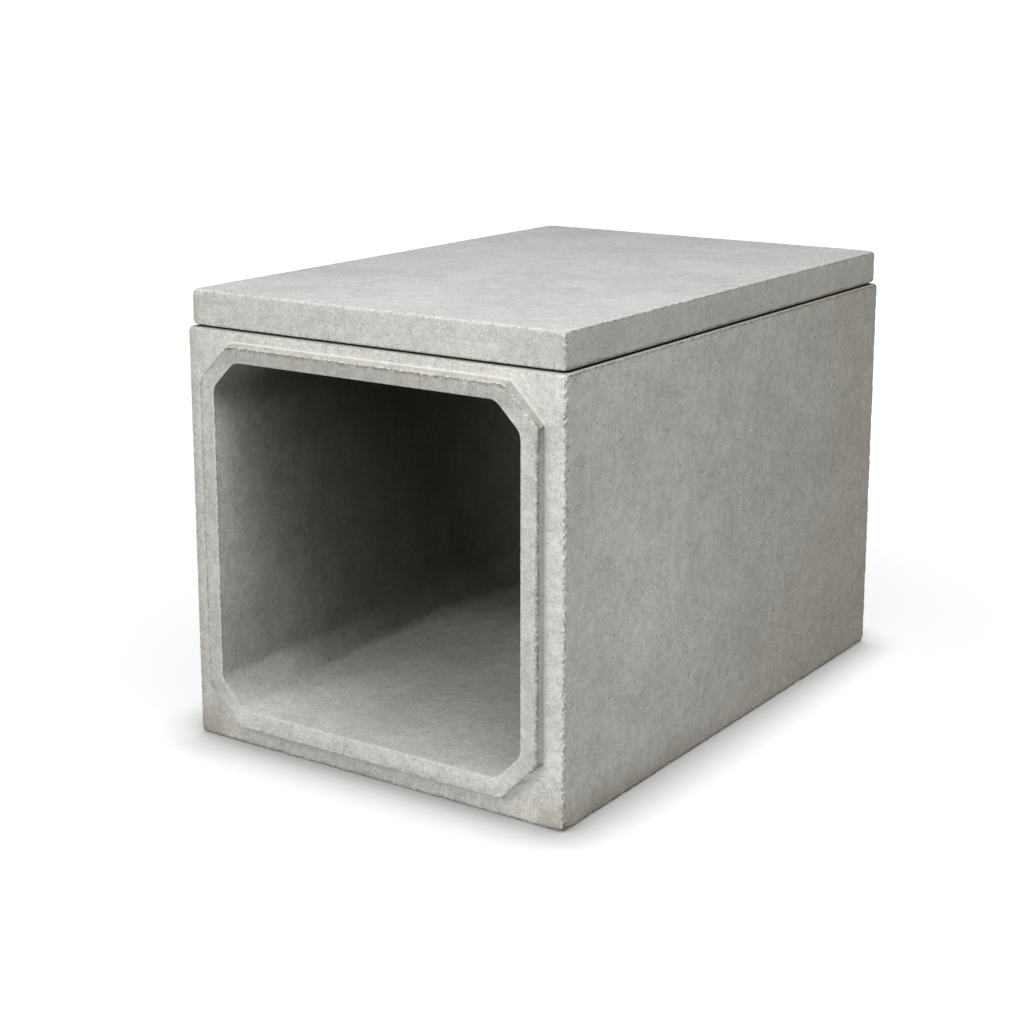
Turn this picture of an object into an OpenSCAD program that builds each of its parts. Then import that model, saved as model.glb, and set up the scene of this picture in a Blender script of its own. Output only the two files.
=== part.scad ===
// Precast concrete box culvert: one cast box section with a spigot and a socket end,
// and a loose cover slab bedded on sealing strips on its roof.
// The floor stands on z = 0, the barrel runs along y, and the spigot faces -y.

/* [Barrel] */
// Clear width of the waterway
opening_w = 1000; // [600:10:1600]
// Clear height of the waterway
opening_h = 980; // [600:10:1600]
// Length of the barrel, without the spigot
barrel_l = 1800; // [900:10:2400]
// Thickness of each side wall
side_t = 114; // [90:1:200]
// Thickness of the roof
roof_t = 78; // [70:1:200]
// Thickness of the floor
floor_t = 113; // [90:1:250]
// Leg of the 45 degree haunch in each corner of the waterway
haunch = 75; // [50:1:150]
// Radius where a haunch runs into a wall
haunch_r = 20; // [10:1:60]
// Radius on the outer arrises of the box section
arris_r = 10; // [4:1:14]

/* [End joint] */
// How far the spigot stands out of the barrel
spigot_l = 28; // [15:1:60]
// Thickness of the spigot's nose at the sides
nose_side = 49; // [30:1:60]
// Thickness of the spigot's nose at the roof
nose_roof = 42; // [25:1:45]
// Thickness of the spigot's nose at the floor
nose_floor = 54; // [30:1:60]
// Thickness of the spigot's nose across the haunches
nose_haunch = 48; // [30:1:60]
// How much the spigot thickens from its nose to its root
spigot_taper = 8; // [0:1:12]
// Clearance all round between a spigot and the socket that takes it
joint_gap = 5; // [2:1:8]
// Clearance between the spigot's nose and the socket's seat
seat_gap = 2; // [1:1:10]

/* [Cover slab] */
// Thickness of the cover slab
slab_t = 97; // [60:1:150]
// How far the slab's sides stand back from the barrel's sides
slab_inset_side = 8; // [0:1:60]
// How far the slab's ends stand back from the barrel's ends
slab_inset_end = 11; // [0:1:60]
// Radius on the arrises of the slab
slab_r = 12; // [4:1:25]
// Thickness of the sealing strip once the slab has bedded down
strip_t = 6; // [3:1:15]
// Width of the sealing strip
strip_w = 40; // [20:1:60]
// How far the strip stands back from the slab's edges
strip_inset = 20; // [15:1:50]

/* [Hidden] */

body_w = opening_w + 2 * side_t;
body_h = floor_t + opening_h + roof_t;
waterway_top = floor_t + opening_h;
// The origin is the centre of the whole length, spigot included.
y_front = -(barrel_l - spigot_l) / 2;
y_nose = y_front - spigot_l;
y_rear = y_front + barrel_l;
slab_z = body_h + strip_t;
slab_w = body_w - 2 * slab_inset_side;
slab_l = barrel_l - 2 * slab_inset_end;
strip_x = slab_w / 2 - strip_inset;
strip_y_front = y_front + slab_inset_end + strip_inset;
strip_y_rear = y_rear - slab_inset_end - strip_inset;
// A cut runs this far past the face that it opens, and the spigot this far into the barrel.
past = 5;
// Long enough for a slice of a plug to cross the whole end face at any tilt.
slice_l = 4 * (body_w + body_h);
arris_facets = 5;
haunch_facets = 6;
concrete = [0.66, 0.65, 0.63];
slab_concrete = [0.70, 0.69, 0.68];
sealant = [0.05, 0.05, 0.05];

function unit(v) = v / norm(v);
function turn(from, to) = let (d = to - from) d > 180 ? d - 360 : d < -180 ? d + 360 : d;

// The arc that rounds corner b between its neighbours a and c.
function corner_arc(a, b, c, r, facets) =
    let (
        u = unit(a - b),
        v = unit(c - b),
        half = acos(u * v) / 2,
        centre = b + unit(u + v) * r / sin(half),
        start = b + u * r / tan(half) - centre,
        stop = b + v * r / tan(half) - centre,
        first = atan2(start[1], start[0]),
        sweep = turn(first, atan2(stop[1], stop[0]))
    )
    [for (i = [0:facets]) centre + r * [cos(first + sweep * i / facets), sin(first + sweep * i / facets)]];

function rounded(points, r, facets) =
    let (n = len(points))
    [for (i = [0:n - 1]) each corner_arc(points[(i + n - 1) % n], points[i], points[(i + 1) % n], r, facets)];

function rectangle(half_w, low, high) =
    [[-half_w, low], [half_w, low], [half_w, high], [-half_w, high]];

// An octagon whose lower and upper corners are cut off at 45 degrees.
function octagon(half_w, low, high, low_leg, high_leg) = [
    [-half_w + low_leg, low], [half_w - low_leg, low],
    [half_w, low + low_leg], [half_w, high - high_leg],
    [half_w - high_leg, high], [-half_w + high_leg, high],
    [-half_w, high - high_leg], [-half_w, low + low_leg]
];

// The spigot's nose outline, grown all round by a distance.
function joint_outline(grow) =
    let (
        leg = haunch + nose_side - nose_haunch * sqrt(2),
        leg_growth = grow * (2 - sqrt(2))
    )
    octagon(
        opening_w / 2 + nose_side + grow,
        floor_t - nose_floor - grow,
        waterway_top + nose_roof + grow,
        leg + nose_floor + leg_growth,
        leg + nose_roof + leg_growth
    );

waterway_outline = rounded(
    octagon(opening_w / 2, floor_t, waterway_top, haunch, haunch), haunch_r, haunch_facets
);

// Runs an outline in x and z along y, from y_from to y_to.
module along_y(points, y_from, y_to)
    translate([0, y_to, 0]) rotate([90, 0, 0]) linear_extrude(y_to - y_from) polygon(points);

// A block with every arris rounded: x and y centred, standing on z = 0.
module rounded_block(w, l, h, r) {
    intersection() {
        along_y(rounded(rectangle(w / 2, 0, h), r, arris_facets), -l / 2, l / 2);
        linear_extrude(h) polygon(rounded(rectangle(w / 2, -l / 2, l / 2), r, arris_facets));
        rotate([90, 0, 90]) translate([0, 0, -w / 2]) linear_extrude(w)
            polygon(rounded(rectangle(l / 2, 0, h), r, arris_facets));
    }
}

// How far an outline reaches in a direction.
function reach(points, direction) = max([for (p = points) p * direction]);

// A tapered octagonal plug that runs from one outline at y_low to another at y_high.
// Each pair of opposite sides is one tapered slice, and the plug is what the four slices share.
module tapered_plug(low_outline, y_low, high_outline, y_high)
    intersection_for(tilt = [0, 45, 90, 135]) {
        direction = [cos(tilt), sin(tilt)];
        rotate([0, -tilt, 0]) translate([0, 0, -slice_l / 2]) linear_extrude(slice_l) polygon([
            [-reach(low_outline, -direction), y_low], [reach(low_outline, direction), y_low],
            [reach(high_outline, direction), y_high], [-reach(high_outline, -direction), y_high]
        ]);
    }

// The joint's tapered form, between two distances back from the spigot's nose.
module joint_plug(nose_y, from, to, gap)
    tapered_plug(
        joint_outline(gap + spigot_taper * from / spigot_l), nose_y + from,
        joint_outline(gap + spigot_taper * to / spigot_l), nose_y + to
    );

module box_section() {
    color(concrete) difference() {
        union() {
            translate([0, (y_front + y_rear) / 2, 0]) rounded_block(body_w, barrel_l, body_h, arris_r);
            joint_plug(y_nose, 0, spigot_l + past, 0);
        }
        along_y(waterway_outline, y_nose - past, y_rear + past);
        joint_plug(y_rear - spigot_l, -seat_gap, spigot_l + past, joint_gap);
    }
}

module cover_slab() {
    color(slab_concrete) translate([0, (y_front + y_rear) / 2, slab_z])
        rounded_block(slab_w, slab_l, slab_t, slab_r);
}

// A length of sealing strip on the roof, between two corners seen from above.
module seal_strip(x_low, y_low, x_high, y_high)
    color(sealant) translate([x_low, y_low, body_h]) cube([x_high - x_low, y_high - y_low, strip_t]);

module seal_strip_left() seal_strip(-strip_x, strip_y_front, -strip_x + strip_w, strip_y_rear);
module seal_strip_right() seal_strip(strip_x - strip_w, strip_y_front, strip_x, strip_y_rear);
module seal_strip_front()
    seal_strip(-strip_x + strip_w, strip_y_front, strip_x - strip_w, strip_y_front + strip_w);
module seal_strip_rear()
    seal_strip(-strip_x + strip_w, strip_y_rear - strip_w, strip_x - strip_w, strip_y_rear);

box_section();
cover_slab();
seal_strip_left();
seal_strip_right();
seal_strip_front();
seal_strip_rear();
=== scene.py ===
import math

import bpy
import numpy as np
from mathutils import Euler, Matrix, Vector


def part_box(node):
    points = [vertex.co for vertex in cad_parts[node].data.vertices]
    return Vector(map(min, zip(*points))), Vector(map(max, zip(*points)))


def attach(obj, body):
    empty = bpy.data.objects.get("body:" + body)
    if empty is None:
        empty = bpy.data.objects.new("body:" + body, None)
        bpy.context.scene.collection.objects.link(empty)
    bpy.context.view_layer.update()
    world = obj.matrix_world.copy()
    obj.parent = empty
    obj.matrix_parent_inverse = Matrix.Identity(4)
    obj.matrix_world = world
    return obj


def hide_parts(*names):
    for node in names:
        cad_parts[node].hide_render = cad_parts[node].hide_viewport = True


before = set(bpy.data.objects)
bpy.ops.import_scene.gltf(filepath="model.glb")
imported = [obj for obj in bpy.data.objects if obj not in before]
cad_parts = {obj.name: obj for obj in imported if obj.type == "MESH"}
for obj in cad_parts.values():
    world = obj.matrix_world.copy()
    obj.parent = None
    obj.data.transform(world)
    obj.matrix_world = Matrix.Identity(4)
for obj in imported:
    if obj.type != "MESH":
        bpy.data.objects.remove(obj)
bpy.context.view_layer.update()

# ----------------------------------------
# Box section
# The barrel is one casting of dense grey concrete, with a haunch in each inner corner, a tapered spigot
# ring round the near end and a socket at the far end. It is turned out of a steel mould while still
# green, so its faces are smooth and its arrises crumble.

box_low, box_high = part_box("box_section")
body_half_w = box_high.x
body_h = box_high.z
side_t = 0.114
roof_t = 0.078
floor_t = 0.113
haunch = 0.075
spigot_l = 0.028
spigot_taper = 0.008
taper_overrun = 0.2
nose_side = 0.049
nose_roof = 0.042
nose_floor = 0.054
nose_haunch = 0.048
joint_gap = 0.005
seat_gap = 0.002
y_nose = box_low.y
y_front = y_nose + spigot_l
y_rear = box_high.y
y_seat = y_rear - spigot_l - seat_gap
opening_half_w = body_half_w - side_t
opening_low = floor_t
opening_high = body_h - roof_t
joint_leg = haunch + nose_side - nose_haunch * math.sqrt(2)

# How far back from each arris the concrete is rounded off, and in the bore also at what depths.
upright_ease = 0.011
top_ease = 0.002
foot_ease = 0.007
ring_ease = 0.004
sharp_ease = 1e-6
box_eases = (upright_ease, top_ease, foot_ease, ring_ease)
bore_depths = (0.02, 0.45, 0.85)
bore_eases = (0.014, 0.024, 0.060)
corner_wear = 0.014
corner_reach = 0.018
root_fillet = 0.004
arris_reach = 0.020


def corner_points(half_w, low, high, low_leg, high_leg, square=False):
    """Twelve points round an end view: three at each corner, which is square or cut off at 45 degrees."""
    points = []
    for side, up in ((-1, -1), (1, -1), (1, 1), (-1, 1)):
        leg, edge = (low_leg, low) if up < 0 else (high_leg, high)
        inset = 0 if square else leg / 2
        on_side = (side * half_w, edge - up * leg)
        corner = (side * (half_w - inset), edge - up * inset)
        on_edge = (side * (half_w - leg), edge)
        points += (on_side, corner, on_edge) if side * up > 0 else (on_edge, corner, on_side)
    return points


def joint_outline(grow):
    """The spigot's nose outline, grown all round by a distance."""
    leg = joint_leg + grow * (2 - math.sqrt(2))
    return (opening_half_w + nose_side + grow, opening_low - nose_floor - grow,
            opening_high + nose_roof + grow, leg + nose_floor, leg + nose_roof)


def joint_growth(y, nose_y):
    """How much the joint has thickened at y, for a spigot whose nose is at nose_y."""
    return spigot_taper * np.clip((y - nose_y) / spigot_l, -taper_overrun, 1 + taper_overrun)


def ease_max(a, b, size):
    """The larger of two distances, rounded off where they are alike."""
    return np.maximum(a, b) + np.maximum(size - np.abs(a - b), 0) ** 2 / (4 * size)


def ease_min(a, b, size):
    """The smaller of two distances, with a fillet where they are alike."""
    return -ease_max(-a, -b, size)


def worn_block(across, along, up, upright_ease, level_ease, corner_wear):
    """How far points lie outside a block, from how far they lie past its faces: corners wear most."""
    corner_ease = level_ease + corner_wear * np.exp(-np.hypot(across, along) / corner_reach)
    return ease_max(ease_max(across, along, upright_ease), up, corner_ease)


def octagon_distance(x, z, half_w, low, high, low_leg, high_leg, ease):
    """How far points lie outside an octagonal outline, in an end view."""
    across = np.abs(x) - half_w
    walls = np.maximum(across, np.maximum(low - z, z - high))
    lower = (across + low - z + low_leg) / math.sqrt(2)
    upper = (across + z - high + high_leg) / math.sqrt(2)
    return ease_max(ease_max(walls, lower, ease), upper, ease)


body_outline = (body_half_w, 0.0, body_h, joint_leg + nose_floor, joint_leg + nose_roof)
bore_outline = (opening_half_w, opening_low, opening_high, haunch, haunch)


def box_distance(points, eases=box_eases):
    """How far points lie outside the casting, with its arrises rounded off."""
    x, y, z = points.T
    upright, top, foot, ring = eases
    barrel = worn_block(np.abs(x) - body_half_w, np.maximum(y_front - y, y - y_rear),
                        np.maximum(-z, z - body_h), upright, np.where(z > body_h / 2, top, foot), corner_wear)
    spigot = octagon_distance(x, z, *joint_outline(joint_growth(y, y_nose)), ring)
    spigot = ease_max(spigot, np.maximum(y_nose - y, y - y_front - spigot_l), ring)
    socket = joint_outline(joint_gap + joint_growth(y, y_rear - spigot_l))
    socket = ease_max(octagon_distance(x, z, *socket, ring), y_seat - y, ring)
    bore_ease = np.interp(np.minimum(y - y_nose, y_rear - y), bore_depths, bore_eases)
    bore = octagon_distance(x, z, *bore_outline, bore_ease)
    body = ease_min(barrel, spigot, root_fillet)
    return ease_max(ease_max(body, -bore, ring), -socket, ring)


# How much crisper than the rest some arrises of the box are, and how near to them that begins.
joint_crisp, joint_reach = 0.7, 0.012
mouth_crisp, mouth_foot_crisp, mouth_reach = 0.65, 0.1, 0.010
left_crisp, left_reach = 0.45, 0.04
ring_crisp, ring_reach = 0.5, 0.003
mouth_foot_z = 0.2
ring_foot_z, ring_foot_fade = 0.10, 0.08
behind_ring = 0.004


def box_wear(points):
    """How crumbly an arris is: least along the joint and round the mouths, which the mould shaped well."""
    x, y, z = points.T
    on_joint = np.exp(-((z - body_h) / joint_reach) ** 2)
    on_mouth = np.exp(-(octagon_distance(x, z, *bore_outline, bore_eases[0]) / mouth_reach) ** 2)
    on_left = np.clip((-x - body_half_w + left_reach) / (left_reach / 2), 0, 1)
    in_ring = octagon_distance(x, z, *joint_outline(spigot_taper), ring_ease) < ring_reach
    above_foot = np.clip((z - ring_foot_z) / ring_foot_fade, 0, 1)
    on_ring = np.where(in_ring & (y < y_front + behind_ring), above_foot, 0)
    return ((1 - joint_crisp * on_joint)
            * (1 - np.where(z > mouth_foot_z, mouth_crisp, mouth_foot_crisp) * on_mouth)
            * (1 - left_crisp * on_left) * (1 - ring_crisp * on_ring))


def settle(points, distance, probe=1e-5, rounds=5):
    """Moves points onto the surface where the distance is 0, and gives its outward normals."""
    for _ in range(rounds):
        slope = np.stack([(distance(points + probe * axis) - distance(points - probe * axis)) / (2 * probe)
                          for axis in np.eye(3)], axis=1)
        points = points - slope * (distance(points) / (slope ** 2).sum(axis=1))[:, None]
    return points, slope


def arris_nearness(points, distance, eases):
    """1 on an arris, falling to 0 as far from it as arris_reach."""
    taken_off = distance(points, [arris_reach] * len(eases)) - distance(points, [sharp_ease] * len(eases))
    return np.sqrt(np.clip(taken_off * 4 / arris_reach, 0, 1))


def refine(points, triangles, arrises, growth=0.8, band=0.006):
    """Halves triangles across their longest sides: to each arris's own grain near it, and coarser away."""
    finest = min(grain for _, _, grain in arrises)
    while True:
        sides = np.sort(np.stack([triangles, np.roll(triangles, -1, axis=1)], axis=2), axis=2)
        keys, side_edge = np.unique(sides[..., 0] * len(points) + sides[..., 1], return_inverse=True)
        side_edge = side_edge.reshape(-1, 3)
        starts, ends = points[keys // len(points)], points[keys % len(points)]
        lengths = np.linalg.norm(ends - starts, axis=1)
        middles = (starts + ends) / 2
        split = lengths > finest
        wanted = np.full(split.sum(), 1.0)
        for start, end, grain in arrises:
            along, away = end - start, middles[split] - start
            away = away - np.clip(away @ along / (along @ along), 0, 1)[:, None] * along
            wanted = np.minimum(wanted, grain + growth * np.maximum(np.linalg.norm(away, axis=1) - band, 0))
        split[split] = lengths[split] > wanted
        if not split.any():
            return points, triangles
        longest_side = lengths[side_edge].argmax(axis=1)
        longest = side_edge[np.arange(len(triangles)), longest_side]
        while not split[longest[split[side_edge].any(axis=1)]].all():
            split[longest[split[side_edge].any(axis=1)]] = True
        turned = (longest_side[:, None] + np.arange(3)) % 3
        a, b, c = np.take_along_axis(triangles, turned, axis=1).T
        middle_of = np.full(len(keys), -1)
        middle_of[split] = len(points) + np.arange(split.sum())
        ab, bc, ca = middle_of[np.take_along_axis(side_edge, turned, axis=1)].T
        points = np.concatenate([points, middles[split]])
        whole, cut_ca, cut_bc = ab < 0, ca >= 0, bc >= 0
        halves = [((a, b, c), whole), ((a, ab, c), ~whole & ~cut_ca), ((ab, b, c), ~whole & ~cut_bc),
                  ((a, ab, ca), cut_ca), ((ca, ab, c), cut_ca), ((ab, b, bc), cut_bc), ((ab, bc, c), cut_bc)]
        triangles = np.concatenate([np.stack(trio, axis=1)[chosen] for trio, chosen in halves])


def new_object(name, data):
    """An object in the scene, made of a mesh, a lamp or a camera."""
    made = bpy.data.objects.new(name, data)
    bpy.context.scene.collection.objects.link(made)
    return made


def casting(name, points, triangles, arrises, distance, eases, wear_share):
    """A closed casting, with the nearness to an arris and its wear stored on its points."""
    points, triangles = refine(points, triangles, arrises)
    points, normals = settle(points, distance)
    a, b, c = points[triangles[0]]
    if np.cross(b - a, c - a) @ normals[triangles[0][0]] < 0:
        triangles = triangles[:, ::-1]
    mesh = bpy.data.meshes.new(name)
    mesh.from_pydata(points.tolist(), [], triangles.tolist())
    stored = {"arris": arris_nearness(points, distance, eases), "wear": wear_share(points)}
    for attribute, values in stored.items():
        mesh.attributes.new(attribute, "FLOAT", "POINT").data.foreach_set("value", values.astype(np.float32))
    mesh.shade_smooth()
    return new_object(name, mesh)


# The casting is skinned through eight loops, from the front face over the outside, into the socket, down
# the bore and back over the spigot. Each has its outline, its place along the barrel and its grain.
mould_cell = 0.05
near_grain = 0.004
mid_grain = 0.006
far_grain = 0.011
haunch_grain = 0.022
mouth_grow = joint_gap + float(joint_growth(y_rear, y_rear - spigot_l))
seat_grow = joint_gap + float(joint_growth(y_seat, y_rear - spigot_l))
loops = [
    (corner_points(*body_outline, square=True), y_front, near_grain),
    (corner_points(*body_outline, square=True), y_rear, far_grain),
    (corner_points(*joint_outline(mouth_grow)), y_rear, far_grain),
    (corner_points(*joint_outline(seat_grow)), y_seat, far_grain),
    (corner_points(*bore_outline), y_seat, far_grain),
    (corner_points(*bore_outline), y_nose, near_grain),
    (corner_points(*joint_outline(0)), y_nose, near_grain),
    (corner_points(*joint_outline(spigot_taper)), y_front, mid_grain),
]
grains = [grain for _, _, grain in loops]
corners = np.array([[(x, y, z) for x, z in outline] for outline, y, _ in loops])
loop_count, point_count = corners.shape[:2]
outer_front, outer_rear, bore_rear, bore_front = 0, 1, 4, 5
next_corners = np.roll(corners, -1, axis=1)
next_loops = np.roll(corners, -1, axis=0)
arrises = [(corners[loop, i], next_corners[loop, i], grains[loop])
           for loop in range(loop_count) for i in range(point_count)]
arrises += [(corners[outer_front, i], corners[outer_rear, i], grain)
            for grain, lengthwise in ((far_grain, (1, 4)), (mid_grain, (7, 10))) for i in lengthwise]
arrises += [(corners[bore_rear, i], corners[bore_front, i], haunch_grain)
            for i in range(point_count) if i % 3 != 1]
cells_round = np.ceil(np.linalg.norm(next_corners - corners, axis=2).max(axis=0) / mould_cell).astype(int)
strides = np.median(np.linalg.norm(next_loops - corners, axis=2), axis=1)
cells_along = np.ceil(strides / mould_cell).astype(int)
rows = []
for loop in range(loop_count):
    for step in range(cells_along[loop]):
        row = corners[loop] + (next_loops[loop] - corners[loop]) * step / cells_along[loop]
        rows += [row[i] + (row[(i + 1) % point_count] - row[i]) * cell / cells_round[i]
                 for i in range(point_count) for cell in range(cells_round[i])]
row_l = cells_round.sum()
here = (np.arange(cells_along.sum()) * row_l)[:, None] + np.arange(row_l)
aside = np.roll(here, -1, axis=1)
ahead, across = np.roll(here, -1, axis=0), np.roll(aside, -1, axis=0)
skin = [np.stack(trio, axis=-1).reshape(-1, 3) for trio in ((here, aside, across), (here, across, ahead))]
box_section = casting("cast_box_section", np.array(rows), np.concatenate(skin), arrises,
                      box_distance, box_eases, box_wear)


def node(tree, kind, sockets=(), **settings):
    """A node with its settings made, and its inputs set or linked by name or place."""
    made = tree.nodes.new(kind)
    for name, value in settings.items():
        setattr(made, name, value)
    for place, value in dict(sockets).items():
        if isinstance(value, bpy.types.NodeSocket):
            tree.links.new(value, made.inputs[place])
        else:
            made.inputs[place].default_value = value
    return made


def calc(tree, operation, *values):
    """The result of one Math node."""
    return node(tree, "ShaderNodeMath", enumerate(values), operation=operation).outputs[0]


def minus(tree, value, other):
    """One value less another."""
    return calc(tree, "SUBTRACT", value, other)


def times(tree, *values):
    """The product of several values."""
    product = values[0]
    for value in values[1:]:
        product = calc(tree, "MULTIPLY", product, value)
    return product


def rest_of(tree, value):
    """What is left of 1."""
    return minus(tree, 1.0, value)


def vector_calc(tree, operation, *values):
    """What comes out of one Vector Math node."""
    return node(tree, "ShaderNodeVectorMath", enumerate(values), operation=operation).outputs


def vector_scaled(tree, vector, factor):
    """A vector or colour times a factor."""
    return node(tree, "ShaderNodeVectorMath", {0: vector, "Scale": factor}, operation="SCALE").outputs[0]


def noise(tree, place, size, seed, detail=3.0, roughness=0.5):
    """Soft random values round 0.5, in blots of about this size."""
    scale = calc(tree, "DIVIDE", 1.0, size) if isinstance(size, bpy.types.NodeSocket) else 1 / size
    sockets = {"Vector": place, "W": seed, "Scale": scale, "Detail": detail, "Roughness": roughness}
    return node(tree, "ShaderNodeTexNoise", sockets, noise_dimensions="4D").outputs[0]


def fade(tree, value, start, end, first=0.0, last=1.0):
    """Goes smoothly from first to last as the value goes from start to end."""
    sockets = {"Value": value, "From Min": start, "From Max": end, "To Min": first, "To Max": last}
    return node(tree, "ShaderNodeMapRange", sockets, interpolation_type="SMOOTHSTEP").outputs[0]


def new_tree(name, kind, inputs, outputs):
    """A node group with named sockets: the group, what comes in and what goes out."""
    tree = bpy.data.node_groups.new(name, kind)
    for socket, socket_kind, value in inputs:
        made = tree.interface.new_socket(socket, in_out="INPUT", socket_type="NodeSocket" + socket_kind)
        if value is not None:
            made.default_value = value
    for socket, socket_kind in outputs:
        tree.interface.new_socket(socket, in_out="OUTPUT", socket_type="NodeSocket" + socket_kind)
    return tree, tree.nodes.new("NodeGroupInput").outputs, tree.nodes.new("NodeGroupOutput").inputs


def pushed_in(tree, shape, way, depth):
    """A Geometry Nodes shape whose points have moved against their normals' way, by a depth."""
    offset = vector_scaled(tree, way, calc(tree, "MULTIPLY", depth, -1.0))
    return node(tree, "GeometryNodeSetPosition", {"Geometry": shape, "Offset": offset}).outputs[0]


def end_tree(tree, shape, into, out):
    """Ends a Geometry Nodes tree with real geometry in its finish."""
    real = node(tree, "GeometryNodeRealizeInstances", {"Geometry": shape})
    real = node(tree, "GeometryNodeSetMaterial", {"Geometry": real.outputs[0], "Material": into["Finish"]})
    tree.links.new(real.outputs[0], out["Geometry"])


def grown(host, tree, **values):
    """Runs a Geometry Nodes tree on an object and keeps what it makes as the object's plain mesh."""
    modifier = host.modifiers.new(tree.name, "NODES")
    modifier.node_group = tree
    for socket in tree.interface.items_tree:
        if socket.in_out == "INPUT" and socket.name in values:
            modifier[socket.identifier] = values[socket.name]
    shaped = host.evaluated_get(bpy.context.evaluated_depsgraph_get())
    plain = bpy.data.meshes.new_from_object(shaped)
    host.modifiers.remove(modifier)
    host.data = plain
    plain.name = host.name


# Green concrete loses paste, sand and the odd stone from its arrises.
wander_size = 0.15
crumb_edge = (0.44, 0.64)
chip_edge = (0.60, 0.72)
wear_sharpness = 1.6
wear, into, out = new_tree("worn arrises", "GeometryNodeTree",
                           [("Geometry", "Geometry", None), ("Wander depth", "Float", 0.0020),
                            ("Crumb depth", "Float", 0.0034), ("Crumb size", "Float", 0.010),
                            ("Chip depth", "Float", 0.0028), ("Chip size", "Float", 0.035),
                            ("Seed", "Float", 1.0), ("Finish", "Material", None)],
                           [("Geometry", "Geometry")])
place = node(wear, "GeometryNodeInputPosition").outputs[0]
stored = [node(wear, "GeometryNodeInputNamedAttribute", {"Name": name}, data_type="FLOAT").outputs[0]
          for name in ("arris", "wear")]
wander = times(wear, noise(wear, place, wander_size, into["Seed"], 1.0), into["Wander depth"])
crumbs = fade(wear, noise(wear, place, into["Crumb size"], into["Seed"], 2.0, 0.6), *crumb_edge)
chips = fade(wear, noise(wear, place, into["Chip size"], into["Seed"], 1.0), *chip_edge)
depth = calc(wear, "ADD", wander, times(wear, crumbs, into["Crumb depth"]))
depth = calc(wear, "ADD", depth, times(wear, chips, into["Chip depth"]))
depth = times(wear, depth, calc(wear, "POWER", times(wear, *stored), wear_sharpness))
normal = node(wear, "GeometryNodeInputNormal").outputs[0]
end_tree(wear, pushed_in(wear, into["Geometry"], normal, depth), into, out)


def on_piece(tree):
    """Where a point of the piece is."""
    return node(tree, "ShaderNodeTexCoord").outputs["Object"]


def split(tree, vector):
    """The x, y and z of a vector."""
    return node(tree, "ShaderNodeSeparateXYZ", {0: vector}).outputs


def normal_parts(tree):
    """The x, y and z of the way that a face points."""
    return split(tree, node(tree, "ShaderNodeTexCoord").outputs["Normal"])


def stored_value(tree, name):
    """A value that the mesh keeps on its points."""
    return node(tree, "ShaderNodeAttribute", attribute_name=name).outputs["Fac"]


def stained(tree, colour, mark, *masks, blend="MULTIPLY"):
    """A colour that takes on a mark's tint, by the mark's strength, where the masks are 1."""
    strength, tint = mark
    sockets = {0: times(tree, *masks, strength), 6: colour, 7: tint}
    return node(tree, "ShaderNodeMix", sockets, data_type="RGBA", blend_type=blend).outputs[2]


def painted(tree, colour, mark, *masks):
    """A colour that gives way to a mark's paint, by the mark's strength, where the masks are 1."""
    return stained(tree, colour, mark, *masks, blend="MIX")


# The cement skin: soft clouds, mottles and a fine sandy grain.
cloud_edge = (0.35, 0.68)
mottle_size = 0.032
grain_size = 0.0065
grain_height = 0.0016
tree, into, out = new_tree("cement skin", "ShaderNodeTree",
                           [("Colour", "Color", (0.6, 0.6, 0.58, 1)),
                            ("Cloud colour", "Color", (0.5, 0.5, 0.48, 1)),
                            ("Cloud size", "Float", 0.3), ("Clouds", "Float", 0.5),
                            ("Mottle", "Float", 0.5), ("Grain", "Float", 0.8), ("Seed", "Float", 1.0)],
                           [("Colour", "Color"), ("Height", "Float")])
place = on_piece(tree)
clouds = fade(tree, noise(tree, place, into["Cloud size"], into["Seed"], 5.0, 0.6), *cloud_edge)
tone = painted(tree, into["Colour"], (into["Clouds"], into["Cloud colour"]), clouds)
mottle = minus(tree, noise(tree, place, mottle_size, into["Seed"], 5.0, 0.7), 0.5)
grain = minus(tree, noise(tree, place, grain_size, into["Seed"], 3.0, 0.75), 0.5)
value = calc(tree, "MULTIPLY_ADD", mottle, into["Mottle"], 1.0)
value = calc(tree, "MULTIPLY_ADD", grain, into["Grain"], value)
tree.links.new(vector_scaled(tree, tone, value), out["Colour"])
tree.links.new(times(tree, grain, grain_height), out["Height"])
skin_tone = tree


def scattered(tree, spacing, seed):
    """Random points about this far apart: the distance to the nearest in spacings, and its random draws."""
    moved = vector_calc(tree, "ADD", on_piece(tree), seed)[0]
    cells = node(tree, "ShaderNodeTexVoronoi", {"Vector": moved, "Scale": calc(tree, "DIVIDE", 1.0, spacing)})
    draws = node(tree, "ShaderNodeSeparateColor", {0: cells.outputs["Color"]}).outputs
    return cells.outputs["Distance"], draws


# Sand grains that show through the skin, some dark and some light.
speck_edge = (0.22, 0.45)
sand, into, out = new_tree("sand specks", "ShaderNodeTree",
                           [("Spacing", "Float", 0.007), ("Share", "Float", 0.2), ("Seed", "Float", 1.0)],
                           [("Dark", "Float"), ("Light", "Float")])
away, lot = scattered(sand, into["Spacing"], into["Seed"])
spot = fade(sand, away, *speck_edge, 1.0, 0.0)
for kind, draw in zip(("Dark", "Light"), lot):
    sand.links.new(times(sand, spot, calc(sand, "LESS_THAN", draw, into["Share"])), out[kind])

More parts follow.
